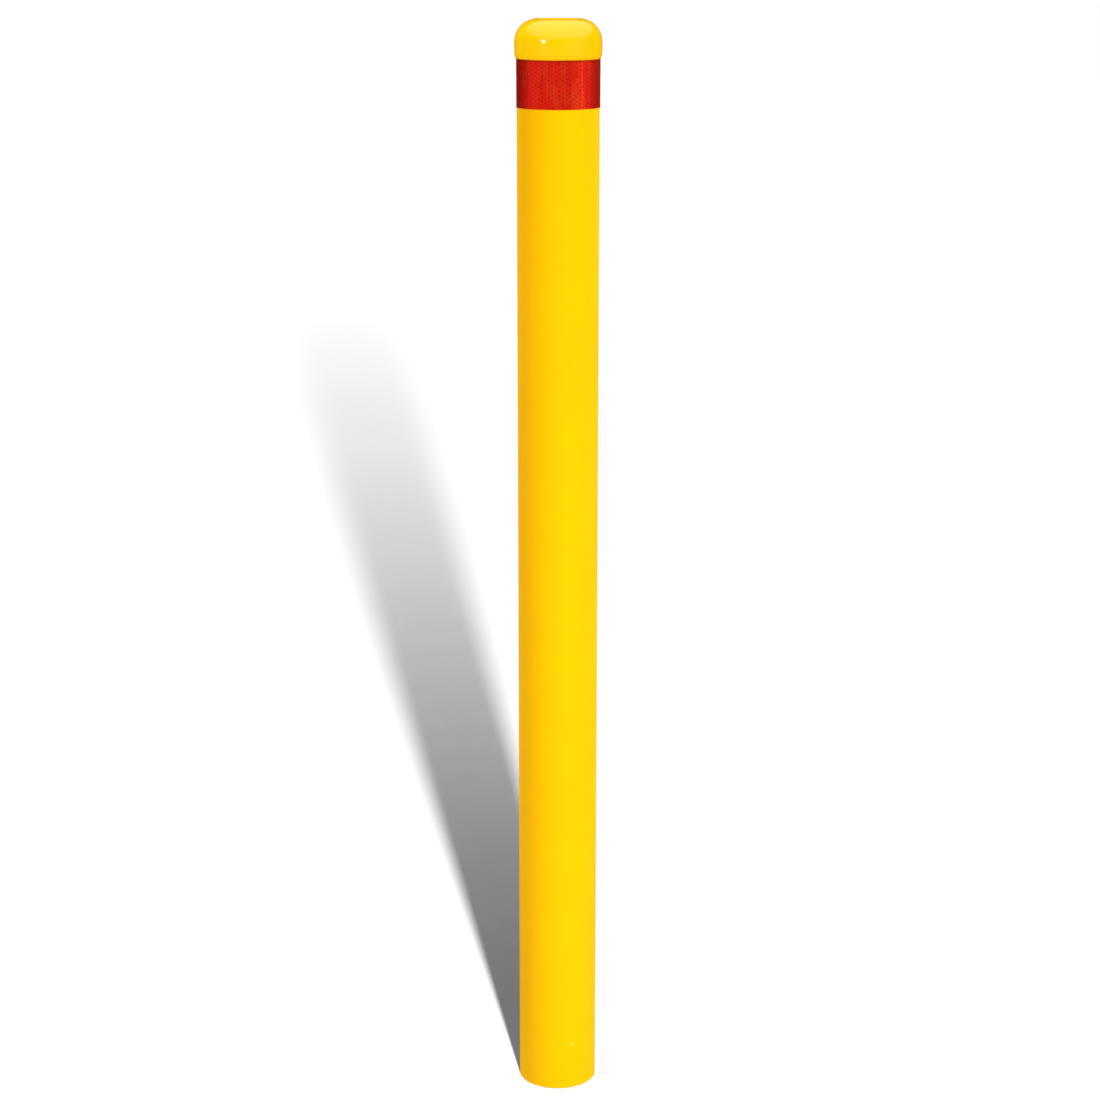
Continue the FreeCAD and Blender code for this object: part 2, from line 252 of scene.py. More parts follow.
def startMaterial(name, **plain):
    # an empty material with a principled shader; plain values are set on the shader's own sockets
    material = bpy.data.materials.new(name)
    material.use_nodes = True
    tree = material.node_tree
    shader = tree.nodes["Principled BSDF"]
    for socket, value in plain.items():
        shader.inputs[socket.replace("_", " ")].default_value = value
    place = wire(tree, "ShaderNodeTexCoord").outputs["Object"]
    return material, tree, shader, place


def finishMaterial(tree, shader, **results):
    for socket, value in results.items():
        target = shader.inputs[socket.replace("_", " ")]
        if isinstance(value, bpy.types.NodeSocket):
            tree.links.new(value, target)
        else:
            target.default_value = value


def fromAxis(tree, place):
    # distance from the post's axis, and height
    parts = wire(tree, "ShaderNodeSeparateXYZ", {0: place}).outputs
    across = calc(tree, "POWER", parts[0], 2.0)
    deep = calc(tree, "POWER", parts[1], 2.0)
    return calc(tree, "SQRT", calc(tree, "ADD", across, deep)), parts[2]


# Every look is in a dictionary. Lengths are in millimetres there, and a pair called Between is the two
# noise levels that a mark fades in between.

coat = {
    "yellow": (0.93, 0.475, 0.0004, 1),
    "thin": (0.91, 0.45, 0.0004, 1),
    # the pale colour below is a painted highlight for the raised nibs
    "nibHighlight": (1.0, 0.68, 0.05, 1),
    "cloudMm": 70,
    "cloudShare": 0.6,
    "mottleMm": 5,
    "mottleShare": 0.25,
    "patchBetween": (0.35, 0.7),
    "nibSpacingMm": 38,  # small raised nibs of powder, scattered over the whole coat, each paled with a painted highlight
    "nibRadius": 0.026,  # as a share of their spacing
    "nibRiseMm": 0.05,
    "nibPaintedHighlight": 0.5,
    "nibAzimuth": 21.0,  # one larger raised nib, low on the front, paled with a painted highlight
    "nibHeight": 55.0,
    "nibMm": 3.2,
    "nibCore": 0.3,  # its full part, as a share of its size
    "largeNibPaintedHighlight": 0.6,
    "zinc": (0.36, 0.37, 0.38, 1),
    "zincDark": (0.20, 0.20, 0.205, 1),
    "spangleMm": 9,
    "zincMetallic": 0.85,
    "peelMm": 2.4,
    "peelDepthMm": 0.012,
    "oversprayMm": 90.0,
    "oversprayEdgeMm": (-12, 30),
    "boreMm": (3.0, 2.6),  # how far in from the outside the coat gives way to the bore
    "raggedMm": 22,
    "roughness": 0.42,
    "mottleRoughness": 0.06,
}


def postCoat(outside, top):
    # powder coat outside, with the spray's ragged end inside both ends of a bare zinc bore
    material, tree, shader, place = startMaterial("postCoat", Specular_IOR_Level=0.02)
    radius, height = fromAxis(tree, place)
    cloudy = stepBetween(tree, noise(tree, place, coat["cloudMm"], 3), *coat["patchBetween"])
    mottled = stepBetween(tree, noise(tree, place, coat["mottleMm"], 2), *coat["patchBetween"])
    clouds = calc(tree, "MULTIPLY", cloudy, coat["cloudShare"])
    mottles = calc(tree, "MULTIPLY", mottled, coat["mottleShare"])
    yellow = blend(tree, calc(tree, "ADD", clouds, mottles), coat["yellow"], coat["thin"])
    toNib = cells(tree, place, coat["nibSpacingMm"], "Distance")
    nib = stepBetween(tree, toNib, 0.0, coat["nibRadius"], 1.0, 0.0)
    turn = math.radians(coat["nibAzimuth"])
    spot = (outside * mm * math.sin(turn), -outside * mm * math.cos(turn), coat["nibHeight"] * mm)
    away = wire(tree, "ShaderNodeVectorMath", {0: place, 1: spot}, operation="DISTANCE").outputs["Value"]
    largeNib = stepBetween(tree, away, coat["nibCore"] * coat["nibMm"] * mm, coat["nibMm"] * mm, 1.0, 0.0)
    # painted highlight: the nibs are paled as if they caught the light; their rise is a real bump
    pale = calc(tree, "MULTIPLY", nib, coat["nibPaintedHighlight"])
    largePale = calc(tree, "MULTIPLY", largeNib, coat["largeNibPaintedHighlight"])
    yellow = blend(tree, calc(tree, "MAXIMUM", pale, largePale), yellow, coat["nibHighlight"])
    nib = calc(tree, "MAXIMUM", nib, largeNib)
    spangle = cells(tree, place, coat["spangleMm"], "Color")
    crystal = calc(tree, "FRACT", wire(tree, "ShaderNodeSeparateColor", {0: spangle}).outputs[0])
    zinc = blend(tree, crystal, coat["zincDark"], coat["zinc"])
    fromEnd = calc(tree, "MINIMUM", height, calc(tree, "SUBTRACT", top * mm, height))
    ragged = noise(tree, place, coat["raggedMm"], 5, 0.7)
    reach = calc(tree, "MULTIPLY", ragged, coat["oversprayMm"] * mm)
    edgeStart, edgeEnd = coat["oversprayEdgeMm"]
    bare = stepBetween(tree, calc(tree, "SUBTRACT", fromEnd, reach), edgeStart * mm, edgeEnd * mm)
    boreStart, boreEnd = coat["boreMm"]
    inside = stepBetween(tree, radius, (outside - boreStart) * mm, (outside - boreEnd) * mm, 1.0, 0.0)
    bore = calc(tree, "MULTIPLY", bare, inside)
    peel = noise(tree, place, coat["peelMm"], 2, 0.45)
    normal = bump(tree, peel, coat["peelDepthMm"])
    normal = bump(tree, nib, coat["nibRiseMm"], normal)
    rough = calc(tree, "ADD", coat["roughness"], calc(tree, "MULTIPLY", mottled, coat["mottleRoughness"]))
    finishMaterial(
        tree,
        shader,
        Base_Color=blend(tree, bore, yellow, zinc),
        Metallic=calc(tree, "MULTIPLY", bore, coat["zincMetallic"]),
        Roughness=rough,
        Normal=normal,
    )
    return material


capLook = {
    "yellow": (0.93, 0.475, 0.0004, 1),
    "flow": (0.92, 0.463, 0.0004, 1),
    "cloudMm": 26,
    "cloudBetween": (0.4, 0.75),
    "flowMm": 14,
    "flowStretch": 0.15,  # less than 1 draws the marks out along Z
    "waveMm": 18,
    "waveDepthMm": 0.02,
    "grainMm": 0.5,
    "grainDepthMm": 0.004,
    "roughness": 0.13,
    "recessRoughness": 0.12,  # added inside the recess
    "recessFade": (16, 23),  # radii that it fades out between
    "cloudRoughness": 0.05,
}


def capPlastic():
    # glossy moulded plastic: faint flow clouds, a fine tool grain and a slightly duller recess
    material, tree, shader, place = startMaterial("capPlastic", Specular_IOR_Level=0.4)
    radius, _ = fromAxis(tree, place)
    clouds = stepBetween(tree, noise(tree, place, capLook["cloudMm"], 3), *capLook["cloudBetween"])
    drawnOut = noise(tree, stretched(tree, place, (1, 1, capLook["flowStretch"])), capLook["flowMm"], 2)
    flow = calc(tree, "MULTIPLY", calc(tree, "ADD", clouds, drawnOut), 0.5)
    grain = noise(tree, place, capLook["grainMm"], 2, 0.6)
    waves = noise(tree, place, capLook["waveMm"], 1)
    normal = bump(tree, waves, capLook["waveDepthMm"])
    normal = bump(tree, grain, capLook["grainDepthMm"], normal)
    fadeStart, fadeEnd = capLook["recessFade"]
    recess = stepBetween(tree, radius, fadeStart * mm, fadeEnd * mm, capLook["recessRoughness"], 0.0)
    cloudy = calc(tree, "MULTIPLY_ADD", clouds, capLook["cloudRoughness"], capLook["roughness"])
    finishMaterial(
        tree,
        shader,
        Base_Color=blend(tree, flow, capLook["yellow"], capLook["flow"]),
        Roughness=calc(tree, "ADD", cloudy, recess),
        Normal=normal,
    )
    return material


film = {
    "height": 50.8,
    "thickness": 0.35,
    "adhesive": 0.1,
    "pitch": 4.3,  # cells stacked one above another
    "wall": 0.55,
    "relief": 0.05,
    "rampLength": 1.6,
    "cellSteps": (16, 8),  # mesh steps in a cell, along the strip and up it
    "adhesiveInset": 0.15,
    "adhesiveSteps": (1.0, 12.0),
    "network": (1.0, 0.019, 0.006, 1),
    "cell": (0.50, 0.002, 0.001, 1),
    "warm": (1.0, 0.052, 0.009, 1),
    "shaded": (0.44, 0.003, 0.0015, 1),
    "underLipShade": (0.10, 0.006, 0.003, 1),  # painted shade under the cap's lip
    # pale free end: partly the cut film's own colour, partly a painted highlight
    "cutEdgeAndHighlight": (0.95, 0.30, 0.22, 1),
    "driftMm": 2.4,  # how far the pressed cells stray from a true honeycomb
    "driftOverMm": 5,
    "wallFoot": 2.2,  # where a wall's slope starts and ends, in half walls from its middle line
    "wallCrest": 0.6,
    "cellFade": (0.15, 0.8),
    "streakMm": 7,
    "streakStretch": 0.02,
    "streakBetween": (0.3, 0.72),
    "streakWash": -0.4,
    "streakGloss": -0.08,
    "patchMm": 16,
    "patchStretch": 0.35,
    "patchBetween": (0.42, 0.68),
    "unevenMm": 3.6,
    "unevenBetween": (0.3, 0.7),
    "unevenDepths": (0.15, 1.15),
    "threadMm": 1.7,
    "threadStretch": 0.012,
    "threadBetween": (0.42, 0.72),
    "threadShade": 0.5,
    "glintMm": 1.1,
    "glintBetween": (0.45, 0.75),
    "glintShade": 0.4,
    "edgeMm": (0.55, 0.35),  # from the free end: the cut edge's own pale colour, with a painted highlight
    "edgeHighlightShare": 0.35,
    "underLipShadeMm": (2.4, 0.6),  # painted shade, from the top edge
    "underLipShadeShare": 0.4,
    "facetMm": 0.11,
    "facetDepthMm": 0.02,
    "wallRiseMm": 0.03,
    "metallic": 0.74,
    "roughness": 0.42,
}


def hexCells(tree, along, up):
    # Distance from the nearest cell centre to the wall, as a share of half the pitch: the cells' centres
    # are two rectangular lattices, half a step apart both ways, and a cell is where one is nearer.
    pitch = film["pitch"] * mm
    column = pitch * math.sqrt(3)
    shares = []
    for shift in (0.0, 0.5):
        across = calc(tree, "FRACT", calc(tree, "MULTIPLY_ADD", along, 1 / column, shift))
        across = calc(tree, "ABSOLUTE", calc(tree, "MULTIPLY", calc(tree, "SUBTRACT", across, 0.5), column))
        rise = calc(tree, "FRACT", calc(tree, "MULTIPLY_ADD", up, 1 / pitch, shift))
        rise = calc(tree, "ABSOLUTE", calc(tree, "MULTIPLY", calc(tree, "SUBTRACT", rise, 0.5), pitch))
        slanted = calc(tree, "MULTIPLY_ADD", across, math.sqrt(3) / 2, calc(tree, "MULTIPLY", rise, 0.5))
        shares.append(calc(tree, "MAXIMUM", rise, slanted))
    return calc(tree, "DIVIDE", calc(tree, "MINIMUM", shares[0], shares[1]), pitch / 2)


def filmRed(stripLength):
    # red prismatic film: honeycomb walls, darker cells, prism facets, stretch streaks along the turn
    material, tree, shader, place = startMaterial("filmRed", Specular_IOR_Level=0.15)
    strip = wire(tree, "ShaderNodeUVMap", uv_map="strip").outputs[0]
    parts = wire(tree, "ShaderNodeSeparateXYZ", {0: strip}).outputs
    along, up = parts[0], parts[1]
    astray = calc(tree, "SUBTRACT", noise(tree, strip, film["driftOverMm"], 3, 0.65), 0.5)
    drift = calc(tree, "MULTIPLY", astray, film["driftMm"] * mm)
    share = hexCells(tree, calc(tree, "ADD", along, drift), calc(tree, "SUBTRACT", up, drift))
    wallShare = film["wall"] / film["pitch"]
    wall = stepBetween(tree, share, 1 - film["wallFoot"] * wallShare, 1 - film["wallCrest"] * wallShare)
    spot = stepBetween(tree, share, *film["cellFade"], 1.0, 0.0)
    streaks = noise(tree, stretched(tree, strip, (1, film["streakStretch"], 1)), film["streakMm"], 3, 0.65)
    streak = stepBetween(tree, streaks, *film["streakBetween"])
    patches = noise(tree, stretched(tree, strip, (1, film["patchStretch"], 1)), film["patchMm"], 2)
    patch = stepBetween(tree, patches, *film["patchBetween"])
    network = blend(tree, patch, film["network"], film["warm"])
    blotches = noise(tree, strip, film["unevenMm"], 2, 0.6)
    uneven = stepBetween(tree, blotches, *film["unevenBetween"], *film["unevenDepths"])
    washedOut = calc(tree, "MULTIPLY_ADD", streak, film["streakWash"], 1.0)
    depth = calc(tree, "MULTIPLY", calc(tree, "MULTIPLY", spot, uneven), washedOut)
    colour = blend(tree, depth, network, film["cell"])
    threads = noise(tree, stretched(tree, strip, (1, film["threadStretch"], 1)), film["threadMm"], 2, 0.7)
    thread = stepBetween(tree, threads, *film["threadBetween"])
    glint = stepBetween(tree, noise(tree, strip, film["glintMm"], 2, 0.7), *film["glintBetween"])
    glints = calc(tree, "MULTIPLY", glint, film["glintShade"])
    shade = calc(tree, "MULTIPLY_ADD", thread, film["threadShade"], glints)
    colour = blend(tree, shade, colour, film["shaded"])
    # the free end is paled: partly the cut film's own pale edge, partly a painted highlight where it catches
    # the light
    edgeStart, edgeEnd = film["edgeMm"]
    edge = stepBetween(tree, along, (stripLength - edgeStart) * mm, (stripLength - edgeEnd) * mm)
    colour = blend(tree, calc(tree, "MULTIPLY", edge, film["edgeHighlightShare"]), colour, film["cutEdgeAndHighlight"])
    # painted shade: the top of the film is darkened under the cap's lip
    underLipShadeStart, underLipShadeEnd = film["underLipShadeMm"]
    underLipShade = stepBetween(tree, up, (film["height"] - underLipShadeStart) * mm, (film["height"] - underLipShadeEnd) * mm)
    colour = blend(tree, calc(tree, "MULTIPLY", underLipShade, film["underLipShadeShare"]), colour, film["underLipShade"])
    facets = []
    for turn in (0.0, 60.0, 120.0):
        cos, sin = math.cos(math.radians(turn)), math.sin(math.radians(turn))
        way = calc(tree, "ADD", calc(tree, "MULTIPLY", along, cos), calc(tree, "MULTIPLY", up, sin))
        facets.append(calc(tree, "PINGPONG", way, film["facetMm"] * mm))
    facet = calc(tree, "MAXIMUM", facets[0], calc(tree, "MAXIMUM", facets[1], facets[2]))
    facetHeight = calc(tree, "MULTIPLY", calc(tree, "DIVIDE", facet, film["facetMm"] * mm), spot)
    normal = bump(tree, wall, film["wallRiseMm"])
    normal = bump(tree, facetHeight, film["facetDepthMm"], normal, 0.5)
    rough = calc(tree, "MULTIPLY_ADD", streak, film["streakGloss"], film["roughness"])
    finishMaterial(tree, shader, Base_Color=colour, Metallic=film["metallic"], Roughness=rough, Normal=normal)
    return material


adhesive = {
    "milky": (0.42, 0.30, 0.22, 1),
    "dusty": (0.16, 0.10, 0.07, 1),
    "dustMm": 1.2,
    "dustBetween": (0.5, 0.75),
    "roughness": 0.6,
}


def filmAdhesive():
    # milky adhesive seen only at the film's edges, with dust caught along it
    material, tree, shader, place = startMaterial("filmAdhesive")
    dust = stepBetween(tree, noise(tree, place, adhesive["dustMm"], 3), *adhesive["dustBetween"])
    colour = blend(tree, dust, adhesive["milky"], adhesive["dusty"])
    rise = bump(tree, dust, 0.02)
    finishMaterial(tree, shader, Base_Color=colour, Roughness=adhesive["roughness"], Normal=rise)
    return material


plugLook = {
    "black": (0.018, 0.018, 0.019, 1),
    "scuffed": (0.05, 0.05, 0.05, 1),
    "scuffMm": 8,
    "scuffBetween": (0.52, 0.78),
    "scuffRoughness": 0.15,
    "grainMm": 0.35,
    "roughness": 0.42,
}


def plugPlastic():
    # black polyethylene: spark-eroded grain, greyer where the mould scuffed it
    material, tree, shader, place = startMaterial("plugPlastic", Specular_IOR_Level=0.4)
    scuff = stepBetween(tree, noise(tree, place, plugLook["scuffMm"], 4, 0.7), *plugLook["scuffBetween"])
    grain = noise(tree, place, plugLook["grainMm"], 2, 0.6)
    colour = blend(tree, scuff, plugLook["black"], plugLook["scuffed"])
    rough = calc(tree, "MULTIPLY_ADD", scuff, plugLook["scuffRoughness"], plugLook["roughness"])
    finishMaterial(tree, shader, Base_Color=colour, Roughness=rough, Normal=bump(tree, grain, 0.02))
    return material


stains = {"sizeMm": 3.5, "between": (0.42, 0.72), "roughness": 0.18, "ringRoughness": 0.12}
brass = {"bright": (0.74, 0.50, 0.20, 1), "dull": (0.42, 0.25, 0.10, 1), "ringMm": 0.35, "roughness": 0.24}
steel = {"bright": (0.62, 0.62, 0.60, 1), "dull": (0.40, 0.39, 0.37, 1), "ringMm": 0.3, "roughness": 0.22}


def turnedMetal(name, metal):
    # metal turned on a lathe: fine rings round the axis, stains and a rougher, duller film over them
    material, tree, shader, place = startMaterial(name)
    radius, height = fromAxis(tree, place)
    track = calc(tree, "ADD", radius, height)
    ring = noise(tree, wire(tree, "ShaderNodeCombineXYZ", {0: track}).outputs[0], metal["ringMm"], 3, 0.7)
    stain = stepBetween(tree, noise(tree, place, stains["sizeMm"], 4, 0.65), *stains["between"])
    colour = blend(tree, stain, metal["bright"], metal["dull"])
    ringed = calc(tree, "MULTIPLY_ADD", ring, stains["ringRoughness"], metal["roughness"])
    roughness = calc(tree, "MULTIPLY_ADD", stain, stains["roughness"], ringed)
    rings = bump(tree, ring, 0.012)
    finishMaterial(tree, shader, Base_Color=colour, Metallic=1.0, Roughness=roughness, Normal=rings)
    return material


rubberLook = {
    "black": (0.02, 0.02, 0.021, 1),
    "talc": (0.065, 0.063, 0.06, 1),
    "talcMm": 2.5,
    "talcBetween": (0.5, 0.8),
    "pitMm": 0.4,
    "pitDepthMm": 0.03,
    "roughness": 0.78,
}


def sealRubber():
    # matt rubber, pitted, with a bloom of talc
    material, tree, shader, place = startMaterial("sealRubber", Specular_IOR_Level=0.3)
    talc = stepBetween(tree, noise(tree, place, rubberLook["talcMm"], 4, 0.7), *rubberLook["talcBetween"])
    colour = blend(tree, talc, rubberLook["black"], rubberLook["talc"])
    pits = bump(tree, noise(tree, place, rubberLook["pitMm"], 3), rubberLook["pitDepthMm"])
    finishMaterial(tree, shader, Base_Color=colour, Roughness=rubberLook["roughness"], Normal=pits)
    return material


tube = {
    "wall": 3.2,
    "edgeRound": 0.9,
    "segments": 256,
    "beadHeight": 0.35,
    "beadWidth": 2.2,
    "beadAngle": 2.2,  # radians, at the back left
    "beadTop": 1170.0,
    "beadFade": (8, 3),  # how fast it dies away at its top and at the foot
    "rippleShare": 0.15,
    "rippleMm": 3.1,
    "longestRun": 12.0,  # between rings of the mesh
}
tubeRadius, tubeFoot, tubeTop = span("post_tube")
tubeInside = tubeRadius - tube["wall"]


def withBead(radius, height, angle):
    # bore radius less a low rounded ridge of weld, which is cut back where the plug goes in
    away = (angle - tube["beadAngle"]) * tubeInside / tube["beadWidth"]
    ripple = 1 + tube["rippleShare"] * np.sin(height / tube["rippleMm"])
    ridge = tube["beadHeight"] * np.exp(-(away**2)) * ripple
    topFade, footFade = tube["beadFade"]
    ends = np.clip((tube["beadTop"] - height) / topFade, 0, 1) * np.clip(height / footFade, 0, 1)
    return radius - ridge * ends * (radius < tubeInside + 0.1)


wallOutline = [
    (tubeInside, tubeFoot, tube["edgeRound"]),
    (tubeRadius, tubeFoot, tube["edgeRound"]),
    (tubeRadius, tubeTop, tube["edgeRound"]),
    (tubeInside, tubeTop, tube["edgeRound"]),
]
tubeLine = divided(filletedLine(wallOutline), tube["longestRun"])
tubeShells = [turnedRing(tubeLine, tube["segments"], withBead)]
makePiece("postTube", tubeShells, postCoat(tubeRadius, tubeTop), "post", "post_tube")
print("post tube made")

cap = {
    "wall": 2.0,
    "lipHeight": 5.0,
    "lipLand": 0.3,
    "lipRoll": (1.15, 1.7),  # the roll's middle, out from the skirt and up from the lip
    "shoulder": 24.0,
    "recess": 21.5,
    "recessDraft": 3.5,
    "recessDepth": 9.0,
    "floor": 3.0,
    "boss": 12.0,
    "bossBottom": 17.5,  # below the crown
    "hole": 4.05,
    "ribs": 6,
    "ribThickness": 2.0,
    "ribBottom": 16.0,  # below the crown
    "ribEnds": (3.0, 1.7),  # how far its ends run into the boss and stop short of the outside
    "slack": 0.015,  # keeps the round inside the frame's flat-sided one
    "segments": 256,
}
capRadius, capBottom, capTop = span("top_cap")
capRadius -= cap["slack"]
skirt = capRadius - cap["wall"]
shoulderCentre = capRadius - cap["shoulder"]
shoulderStart = capTop - cap["shoulder"]
recessFoot = cap["recess"] - cap["recessDraft"]
recessFloor = capTop - cap["recessDepth"]
floorUnder = recessFloor - cap["floor"]
rollOut, rollUp = cap["lipRoll"]
capOutline = [
    (skirt, capBottom, 0.12),
    (skirt + cap["lipLand"], capBottom, 0.14),
    (skirt + rollOut, capBottom + rollUp, 2.5),
    (capRadius, capBottom + cap["lipHeight"], 5.0),
    (capRadius, capTop, cap["shoulder"]),
    (cap["recess"] - 0.1, capTop, 1.15),
    (recessFoot, recessFloor, 2.0),
    (cap["hole"], recessFloor, 0.25),
    (cap["hole"], capTop - cap["bossBottom"], 0.25),
    (cap["boss"], capTop - cap["bossBottom"], 0.5),
    (cap["boss"], floorUnder, 0.8),
    (recessFoot + cap["wall"], floorUnder, 0.9),
    (cap["recess"] + cap["wall"], capTop - cap["wall"], 0.5),
    (skirt, capTop - cap["wall"], cap["shoulder"] - cap["wall"] - 1.3),
]
capLine = divided(filletedLine(capOutline, 14), 2.0)


def ribBar(reach, bottom, top, thickness):
    # A rib along a radius: at each station of reach its section goes up one side, over the flat top,
    # down the other side and round the lower edge, which is half a circle.
    half = thickness / 2
    turn = np.linspace(0, -np.pi, 7)
    across = np.concatenate([[half], half * np.cos(turn), [-half]])
    rise = np.concatenate([[0], half * np.sin(turn) + half, [0]])
    height = np.repeat(bottom + rise[None, :], len(reach), axis=0)
    height[:, [0, -1]] = top[:, None]
    along = np.repeat(reach[:, None], len(across), axis=1)
    sideways = np.repeat(across[None, :], len(reach), axis=0)
    return sweptBar(np.stack([along, sideways, height], axis=-1))


def capRib():
    # from the boss, up the recess's hidden wall and down the middle of the shoulder's wall
    half = cap["wall"] / 2
    intoBoss, shortOf = cap["ribEnds"]
    reach = np.linspace(cap["boss"] - intoBoss, capRadius - shortOf, 40)
    arc = np.clip((cap["shoulder"] - half) ** 2 - (reach - shoulderCentre) ** 2, 0, None)
    underShoulder = np.where(reach > shoulderCentre, shoulderStart + np.sqrt(arc), capTop - half)
    climb = (reach - recessFoot - half) / cap["recessDraft"] * (capTop - half - floorUnder)
    top = np.minimum(underShoulder, floorUnder + half + np.clip(climb, 0, None))
    return ribBar(reach, capTop - cap["ribBottom"], top, cap["ribThickness"])


ribAngles = np.arange(cap["ribs"]) * 2 * np.pi / cap["ribs"]
capShells = [turnedRing(capLine, cap["segments"]), turnedAbout(capRib(), ribAngles)]
makePiece("topCap", capShells, capPlastic(), "cap", "top_cap")
print("cap made")

lap = {"length": 25.0, "edgeAzimuth": 33.6, "edgeRound": 0.05}
_, bandBottom, bandTop = span("reflective_film")
turnLength = 2 * math.pi * tubeRadius
stripLength = turnLength + lap["length"]
stripStart = math.radians(lap["edgeAzimuth"] - 90) - lap["length"] / tubeRadius


def cellWalls(along, up):
    # the same honeycomb as the material: 1 on a wall, 0 in a cell
    pitch = film["pitch"]
    column = pitch * math.sqrt(3)
    shares = []
    for shift in (0.0, 0.5):
        across = np.abs(np.mod(along / column + shift, 1) - 0.5) * column
        rise = np.abs(np.mod(up / pitch + shift, 1) - 0.5) * pitch
        shares.append(np.maximum(rise, across * math.sqrt(3) / 2 + rise * 0.5))
    share = np.minimum(*shares) / (pitch / 2)
    wallShare = film["wall"] / pitch
    slope = (film["wallFoot"] - film["wallCrest"]) * wallShare
    return np.clip((share - 1 + film["wallFoot"] * wallShare) / slope, 0, 1)


def woundStrip(inner, thickness, inset, alongStep, upStep, relief):
    # A thin outline (radius, height) carried along the strip: the angle grows with the length along it,
    # and the radius steps up smoothly where the strip climbs over its own start. The relief sinks the
    # outer face between the cell walls.
    bottom, top = bandBottom + inset, bandTop - inset
    rounding = min(lap["edgeRound"], thickness / 3)
    section = [(0, bottom), (thickness, bottom), (thickness, top), (0, top)]
    outline = filletedLine([(across, rise, rounding) for across, rise in section], 3)
    face = np.arange(bottom + rounding + upStep / 2, top - rounding, upStep)
    faceLine = np.stack([np.full(len(face), thickness), face], axis=1)
    lowHalf, highHalf = np.split(outline, 2)
    line = np.concatenate([lowHalf, faceLine, highHalf])
    along = np.arange(0, stripLength + alongStep / 2, alongStep)
    along = along * stripLength / along[-1]
    climb = np.clip((along - turnLength + film["rampLength"]) / film["rampLength"], 0, 1)
    lift = climb * climb * (3 - 2 * climb) * (film["thickness"] + film["adhesive"])
    up = np.repeat(line[None, :, 1], len(along), axis=0)
    far = np.repeat(along[:, None], len(line), axis=1)
    sunk = relief * (1 - cellWalls(far, up - bandBottom)) * (line[None, :, 0] > thickness * 0.99)
    radius = inner + line[None, :, 0] + lift[:, None] - sunk
    angle = stripStart + far / tubeRadius
    sections = np.stack([radius * np.cos(angle), radius * np.sin(angle), up], axis=-1)
    flat = np.stack([far, up - bandBottom], axis=-1)
    endMiddles = np.stack([flat[0].mean(axis=0), flat[-1].mean(axis=0)])
    return sweptBar(sections), np.concatenate([flat.reshape(-1, 2), endMiddles])


stepsAlong, stepsUp = film["cellSteps"]
filmShell, filmStrip = woundStrip(
    tubeRadius + film["adhesive"],
    film["thickness"],
    0.0,
    film["pitch"] * math.sqrt(3) / stepsAlong,
    film["pitch"] / stepsUp,
    film["relief"],
)
makePiece(
    "reflectiveFilm",
    [filmShell],
    filmRed(stripLength),
    "post",
    "reflective_film",
    strip=filmStrip,
)
adhesiveShell, _ = woundStrip(
    tubeRadius,
    film["adhesive"],
    film["adhesiveInset"],
    *film["adhesiveSteps"],
    0.0,
)
makePiece("bandAdhesive", [adhesiveShell], filmAdhesive(), "post", "band_adhesive")
print("reflective band made")

plug = {
    "wall": 2.5,
    "lead": 0.8,
    "clearance": 0.05,
    "hub": 10.0,
    "hubDepth": 15.0,
    "ribs": 6,
    "ribThickness": 2.2,
    "ribEnds": (1.5, 1.2),  # how far from the bush and from the plug's outside they start and stop
    "ribRise": 1.0,  # above the tube's end, into the flange
    "segments": 192,
}
flangeRadius, plugBottom, flangeTop = span("tube_insert")
bushRadius, bushBottom, bushTop = span("insert_bush")
plugOutside = tubeInside - plug["clearance"]
plugInside = plugOutside - plug["wall"]
plugOutline = [
    (bushRadius, flangeTop, 0.3),
    (bushRadius, tubeTop - plug["hubDepth"], 0.3),
    (plug["hub"], tubeTop - plug["hubDepth"], 0.6),
    (plug["hub"], tubeTop, 1.5),
    (plugInside, tubeTop, 1.5),
    (plugInside, plugBottom, 0.4),
    (plugOutside - plug["lead"], plugBottom, 0.3),
    (plugOutside, plugBottom + plug["lead"], 0.4),
    (plugOutside, tubeTop, 0.1),
    (flangeRadius, tubeTop, 0.3),
    (flangeRadius, flangeTop, plug["lead"]),
]
plugBody = turnedRing(divided(filletedLine(plugOutline, 5), 4.0), plug["segments"])
ribStart, ribStop = plug["ribEnds"]
plugReach = np.linspace(bushRadius + ribStart, plugOutside - ribStop, 2)
plugRibTop = np.full(2, tubeTop + plug["ribRise"])
plugRib = ribBar(plugReach, tubeTop - plug["hubDepth"], plugRibTop, plug["ribThickness"])
plugAngles = np.arange(plug["ribs"]) * 2 * np.pi / plug["ribs"]
plugShells = [plugBody, turnedAbout(plugRib, plugAngles)]
makePiece("tubePlug", plugShells, plugPlastic(), "post", "tube_insert")

bush = {
    "bore": 4.0,
    "pitch": 1.25,
    "threadDepth": 0.45,
    "mouth": 0.6,
    "threadStart": 0.4,  # above its lower end
    "step": 0.12,  # between rings of the mesh
    "groove": 0.6,
    "grooveWidth": 3.0,
    "segments": 72,
}


def bushThread(radius, height, angle):
    # bore with a groove cut outwards along a helix: its depth is a triangle wave of height and angle
    wave = np.abs(np.mod(height / bush["pitch"] - angle / (2 * np.pi), 1) - 0.5) * 2
    threaded = (height < bushTop - bush["mouth"]) * (height > bushBottom + bush["threadStart"])
    inBore = (radius < bush["bore"] + 0.05) * threaded
    return radius + inBore * bush["threadDepth"] * wave


